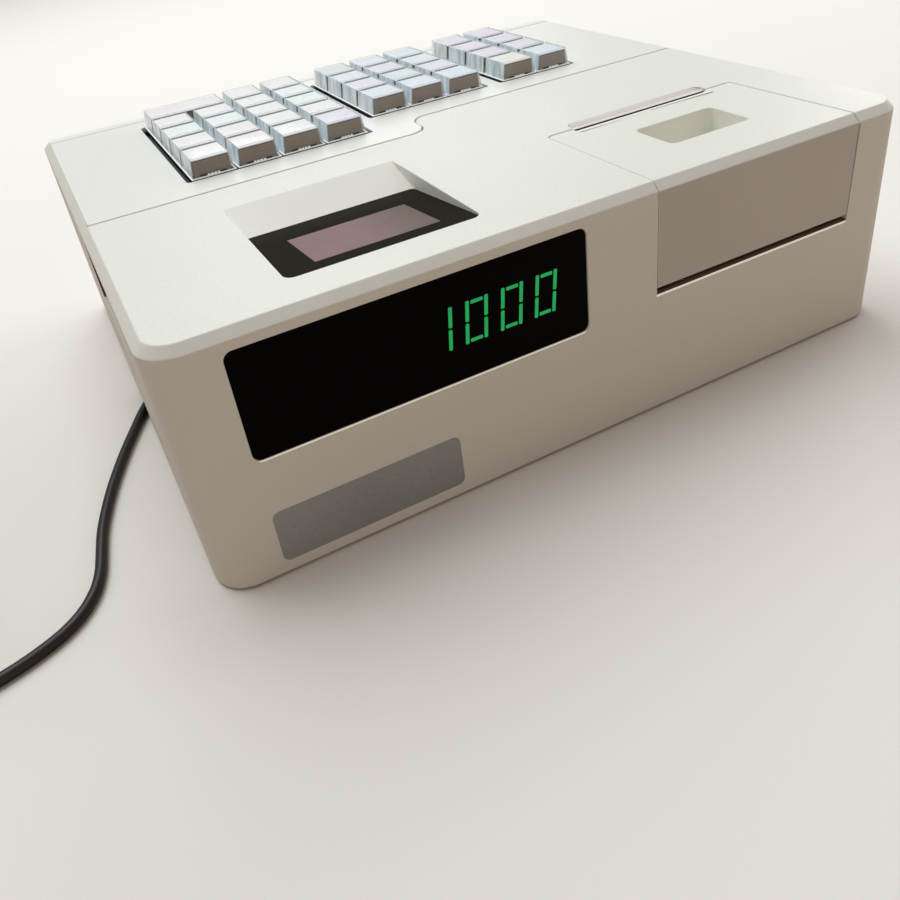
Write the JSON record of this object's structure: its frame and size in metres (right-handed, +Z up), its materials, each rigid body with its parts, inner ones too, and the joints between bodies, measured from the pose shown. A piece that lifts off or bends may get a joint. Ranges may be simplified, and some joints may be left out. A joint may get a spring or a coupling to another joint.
{
  "type": "ticket register",
  "caption": "Low counter-top ticket register: blocks of clear-capped keys, operator and customer displays, and a drop-in receipt printer under a hinged cover, with its adapter lead.",
  "frame": {"origin": "centre of the case's footprint, on the surface that its rubber feet stand on", "axes": "+Z up; the operator sits at -Y and faces +Y; the customer display and paper cover are on the +Y face; the cord and power switch are on the +X side"},
  "size_m": [0.444, 0.245, 0.098],
  "materials": {
    "case_plastic": "fine grain, off-white ABS",
    "plate_plastic": "smooth satin, off-white ABS",
    "black_rubber": "matte",
    "steel": "zinc plated",
    "bright_steel": "bright, serrated edge",
    "black_window": "polished acrylic",
    "smoked_window": "polished, clear over the screen",
    "circuit_board": "solder mask",
    "printer_plastic": "satin",
    "receipt_paper": "uncoated",
    "black_plastic": "fine grain",
    "cord_jacket": "smooth PVC",
    "key_plastic": "clear cap over a white insert"
  },
  "bodies": {
    "case": {"upper_case": "case_plastic", "keyboard_plate": "plate_plastic", "bottom_cover": "case_plastic", "rubber_feet": "black_rubber", "case_screws": "steel", "customer_window": "black_window", "customer_display": "circuit_board", "operator_window": "smoked_window", "operator_display": "circuit_board", "key_switch_board": "circuit_board", "main_board": "circuit_board", "printer_mechanism": "printer_plastic", "cutter_bar": "bright_steel", "dc_plug": "black_plastic", "power_cord": "cord_jacket", "cord_coil": "cord_jacket", "power_adapter": "black_plastic"},
    "paper_cover": {"paper_cover": "case_plastic"},
    "platen": {"platen_roller": "black_rubber"},
    "paper_roll": {"paper_roll": "receipt_paper"},
    "power_rocker": {"power_switch": "black_plastic"},
    "key_1_a_wide": {"key_1_a_wide": "key_plastic"},
    "key_1_a3": {"key_1_a3": "key_plastic"},
    "key_1_a4": {"key_1_a4": "key_plastic"},
    "key_1_b1": {"key_1_b1": "key_plastic"},
    "key_1_b2": {"key_1_b2": "key_plastic"},
    "key_1_b3": {"key_1_b3": "key_plastic"},
    "key_1_b4": {"key_1_b4": "key_plastic"},
    "key_1_c1": {"key_1_c1": "key_plastic"},
    "key_1_c2": {"key_1_c2": "key_plastic"},
    "key_1_c3": {"key_1_c3": "key_plastic"},
    "key_1_c4": {"key_1_c4": "key_plastic"},
    "key_1_d1": {"key_1_d1": "key_plastic"},
    "key_1_d2": {"key_1_d2": "key_plastic"},
    "key_1_d3": {"key_1_d3": "key_plastic"},
    "key_1_d4": {"key_1_d4": "key_plastic"},
    "key_1_e1": {"key_1_e1": "key_plastic"},
    "key_1_e2": {"key_1_e2": "key_plastic"},
    "key_1_e3": {"key_1_e3": "key_plastic"},
    "key_1_e4": {"key_1_e4": "key_plastic"},
    "key_2_a1": {"key_2_a1": "key_plastic"},
    "key_2_a2": {"key_2_a2": "key_plastic"},
    "key_2_a3": {"key_2_a3": "key_plastic"},
    "key_2_b1": {"key_2_b1": "key_plastic"},
    "key_2_b2": {"key_2_b2": "key_plastic"},
    "key_2_b3": {"key_2_b3": "key_plastic"},
    "key_2_c1": {"key_2_c1": "key_plastic"},
    "key_2_c2": {"key_2_c2": "key_plastic"},
    "key_2_c3": {"key_2_c3": "key_plastic"},
    "key_2_d1": {"key_2_d1": "key_plastic"},
    "key_2_d2": {"key_2_d2": "key_plastic"},
    "key_2_d3": {"key_2_d3": "key_plastic"},
    "key_3_a1": {"key_3_a1": "key_plastic"},
    "key_3_a2": {"key_3_a2": "key_plastic"},
    "key_3_b1": {"key_3_b1": "key_plastic"},
    "key_3_b2": {"key_3_b2": "key_plastic"},
    "key_3_c1": {"key_3_c1": "key_plastic"},
    "key_3_c2": {"key_3_c2": "key_plastic"},
    "key_3_d1": {"key_3_d1": "key_plastic"},
    "key_3_d2": {"key_3_d2": "key_plastic"}
  },
  "joints": [
    {"name": "paper_cover_hinge", "type": "hinge", "parent": "case", "child": "paper_cover", "pos_m": [-0.0721, 0.1195, 0.0532], "axis": [-1, 0, 0], "range_deg": [0, 90]},
    {"name": "platen_spin", "type": "hinge", "parent": "paper_cover", "child": "platen", "pos_m": [-0.0721, 0.0621, 0.0795], "axis": [1, 0, 0], "continuous": true},
    {"name": "paper_roll_spin", "type": "hinge", "parent": "case", "child": "paper_roll", "pos_m": [-0.0721, 0.0885, 0.0343], "axis": [1, 0, 0], "continuous": true},
    {"name": "power_switch_rock", "type": "hinge", "parent": "case", "child": "power_rocker", "pos_m": [0.132, 0.0415, 0.0735], "axis": [0, 0, 1], "range_deg": [0, 14]},
    {"name": "key_1_a_wide_press", "type": "slide", "parent": "case", "child": "key_1_a_wide", "axis": [0, 0, -1], "range_m": [0, 0.003], "stiffness_N_per_m": 160, "springref_m": -0.002},
    {"name": "key_1_a3_press", "type": "slide", "parent": "case", "child": "key_1_a3", "axis": [0, 0, -1], "range_m": [0, 0.003], "stiffness_N_per_m": 160, "springref_m": -0.002},
    {"name": "key_1_a4_press", "type": "slide", "parent": "case", "child": "key_1_a4", "axis": [0, 0, -1], "range_m": [0, 0.003], "stiffness_N_per_m": 160, "springref_m": -0.002},
    {"name": "key_1_b1_press", "type": "slide", "parent": "case", "child": "key_1_b1", "axis": [0, 0, -1], "range_m": [0, 0.003], "stiffness_N_per_m": 160, "springref_m": -0.002},
    {"name": "key_1_b2_press", "type": "slide", "parent": "case", "child": "key_1_b2", "axis": [0, 0, -1], "range_m": [0, 0.003], "stiffness_N_per_m": 160, "springref_m": -0.002},
    {"name": "key_1_b3_press", "type": "slide", "parent": "case", "child": "key_1_b3", "axis": [0, 0, -1], "range_m": [0, 0.003], "stiffness_N_per_m": 160, "springref_m": -0.002},
    {"name": "key_1_b4_press", "type": "slide", "parent": "case", "child": "key_1_b4", "axis": [0, 0, -1], "range_m": [0, 0.003], "stiffness_N_per_m": 160, "springref_m": -0.002},
    {"name": "key_1_c1_press", "type": "slide", "parent": "case", "child": "key_1_c1", "axis": [0, 0, -1], "range_m": [0, 0.003], "stiffness_N_per_m": 160, "springref_m": -0.002},
    {"name": "key_1_c2_press", "type": "slide", "parent": "case", "child": "key_1_c2", "axis": [0, 0, -1], "range_m": [0, 0.003], "stiffness_N_per_m": 160, "springref_m": -0.002},
    {"name": "key_1_c3_press", "type": "slide", "parent": "case", "child": "key_1_c3", "axis": [0, 0, -1], "range_m": [0, 0.003], "stiffness_N_per_m": 160, "springref_m": -0.002},
    {"name": "key_1_c4_press", "type": "slide", "parent": "case", "child": "key_1_c4", "axis": [0, 0, -1], "range_m": [0, 0.003], "stiffness_N_per_m": 160, "springref_m": -0.002},
    {"name": "key_1_d1_press", "type": "slide", "parent": "case", "child": "key_1_d1", "axis": [0, 0, -1], "range_m": [0, 0.003], "stiffness_N_per_m": 160, "springref_m": -0.002},
    {"name": "key_1_d2_press", "type": "slide", "parent": "case", "child": "key_1_d2", "axis": [0, 0, -1], "range_m": [0, 0.003], "stiffness_N_per_m": 160, "springref_m": -0.002},
    {"name": "key_1_d3_press", "type": "slide", "parent": "case", "child": "key_1_d3", "axis": [0, 0, -1], "range_m": [0, 0.003], "stiffness_N_per_m": 160, "springref_m": -0.002},
    {"name": "key_1_d4_press", "type": "slide", "parent": "case", "child": "key_1_d4", "axis": [0, 0, -1], "range_m": [0, 0.003], "stiffness_N_per_m": 160, "springref_m": -0.002},
    {"name": "key_1_e1_press", "type": "slide", "parent": "case", "child": "key_1_e1", "axis": [0, 0, -1], "range_m": [0, 0.003], "stiffness_N_per_m": 160, "springref_m": -0.002},
    {"name": "key_1_e2_press", "type": "slide", "parent": "case", "child": "key_1_e2", "axis": [0, 0, -1], "range_m": [0, 0.003], "stiffness_N_per_m": 160, "springref_m": -0.002},
    {"name": "key_1_e3_press", "type": "slide", "parent": "case", "child": "key_1_e3", "axis": [0, 0, -1], "range_m": [0, 0.003], "stiffness_N_per_m": 160, "springref_m": -0.002},
    {"name": "key_1_e4_press", "type": "slide", "parent": "case", "child": "key_1_e4", "axis": [0, 0, -1], "range_m": [0, 0.003], "stiffness_N_per_m": 160, "springref_m": -0.002},
    {"name": "key_2_a1_press", "type": "slide", "parent": "case", "child": "key_2_a1", "axis": [0, 0, -1], "range_m": [0, 0.003], "stiffness_N_per_m": 160, "springref_m": -0.002},
    {"name": "key_2_a2_press", "type": "slide", "parent": "case", "child": "key_2_a2", "axis": [0, 0, -1], "range_m": [0, 0.003], "stiffness_N_per_m": 160, "springref_m": -0.002},
    {"name": "key_2_a3_press", "type": "slide", "parent": "case", "child": "key_2_a3", "axis": [0, 0, -1], "range_m": [0, 0.003], "stiffness_N_per_m": 160, "springref_m": -0.002},
    {"name": "key_2_b1_press", "type": "slide", "parent": "case", "child": "key_2_b1", "axis": [0, 0, -1], "range_m": [0, 0.003], "stiffness_N_per_m": 160, "springref_m": -0.002},
    {"name": "key_2_b2_press", "type": "slide", "parent": "case", "child": "key_2_b2", "axis": [0, 0, -1], "range_m": [0, 0.003], "stiffness_N_per_m": 160, "springref_m": -0.002},
    {"name": "key_2_b3_press", "type": "slide", "parent": "case", "child": "key_2_b3", "axis": [0, 0, -1], "range_m": [0, 0.003], "stiffness_N_per_m": 160, "springref_m": -0.002},
    {"name": "key_2_c1_press", "type": "slide", "parent": "case", "child": "key_2_c1", "axis": [0, 0, -1], "range_m": [0, 0.003], "stiffness_N_per_m": 160, "springref_m": -0.002},
    {"name": "key_2_c2_press", "type": "slide", "parent": "case", "child": "key_2_c2", "axis": [0, 0, -1], "range_m": [0, 0.003], "stiffness_N_per_m": 160, "springref_m": -0.002},
    {"name": "key_2_c3_press", "type": "slide", "parent": "case", "child": "key_2_c3", "axis": [0, 0, -1], "range_m": [0, 0.003], "stiffness_N_per_m": 160, "springref_m": -0.002},
    {"name": "key_2_d1_press", "type": "slide", "parent": "case", "child": "key_2_d1", "axis": [0, 0, -1], "range_m": [0, 0.003], "stiffness_N_per_m": 160, "springref_m": -0.002},
    {"name": "key_2_d2_press", "type": "slide", "parent": "case", "child": "key_2_d2", "axis": [0, 0, -1], "range_m": [0, 0.003], "stiffness_N_per_m": 160, "springref_m": -0.002},
    {"name": "key_2_d3_press", "type": "slide", "parent": "case", "child": "key_2_d3", "axis": [0, 0, -1], "range_m": [0, 0.003], "stiffness_N_per_m": 160, "springref_m": -0.002},
    {"name": "key_3_a1_press", "type": "slide", "parent": "case", "child": "key_3_a1", "axis": [0, 0, -1], "range_m": [0, 0.003], "stiffness_N_per_m": 160, "springref_m": -0.002},
    {"name": "key_3_a2_press", "type": "slide", "parent": "case", "child": "key_3_a2", "axis": [0, 0, -1], "range_m": [0, 0.003], "stiffness_N_per_m": 160, "springref_m": -0.002},
    {"name": "key_3_b1_press", "type": "slide", "parent": "case", "child": "key_3_b1", "axis": [0, 0, -1], "range_m": [0, 0.003], "stiffness_N_per_m": 160, "springref_m": -0.002},
    {"name": "key_3_b2_press", "type": "slide", "parent": "case", "child": "key_3_b2", "axis": [0, 0, -1], "range_m": [0, 0.003], "stiffness_N_per_m": 160, "springref_m": -0.002},
    {"name": "key_3_c1_press", "type": "slide", "parent": "case", "child": "key_3_c1", "axis": [0, 0, -1], "range_m": [0, 0.003], "stiffness_N_per_m": 160, "springref_m": -0.002},
    {"name": "key_3_c2_press", "type": "slide", "parent": "case", "child": "key_3_c2", "axis": [0, 0, -1], "range_m": [0, 0.003], "stiffness_N_per_m": 160, "springref_m": -0.002},
    {"name": "key_3_d1_press", "type": "slide", "parent": "case", "child": "key_3_d1", "axis": [0, 0, -1], "range_m": [0, 0.003], "stiffness_N_per_m": 160, "springref_m": -0.002},
    {"name": "key_3_d2_press", "type": "slide", "parent": "case", "child": "key_3_d2", "axis": [0, 0, -1], "range_m": [0, 0.003], "stiffness_N_per_m": 160, "springref_m": -0.002}
  ]
}
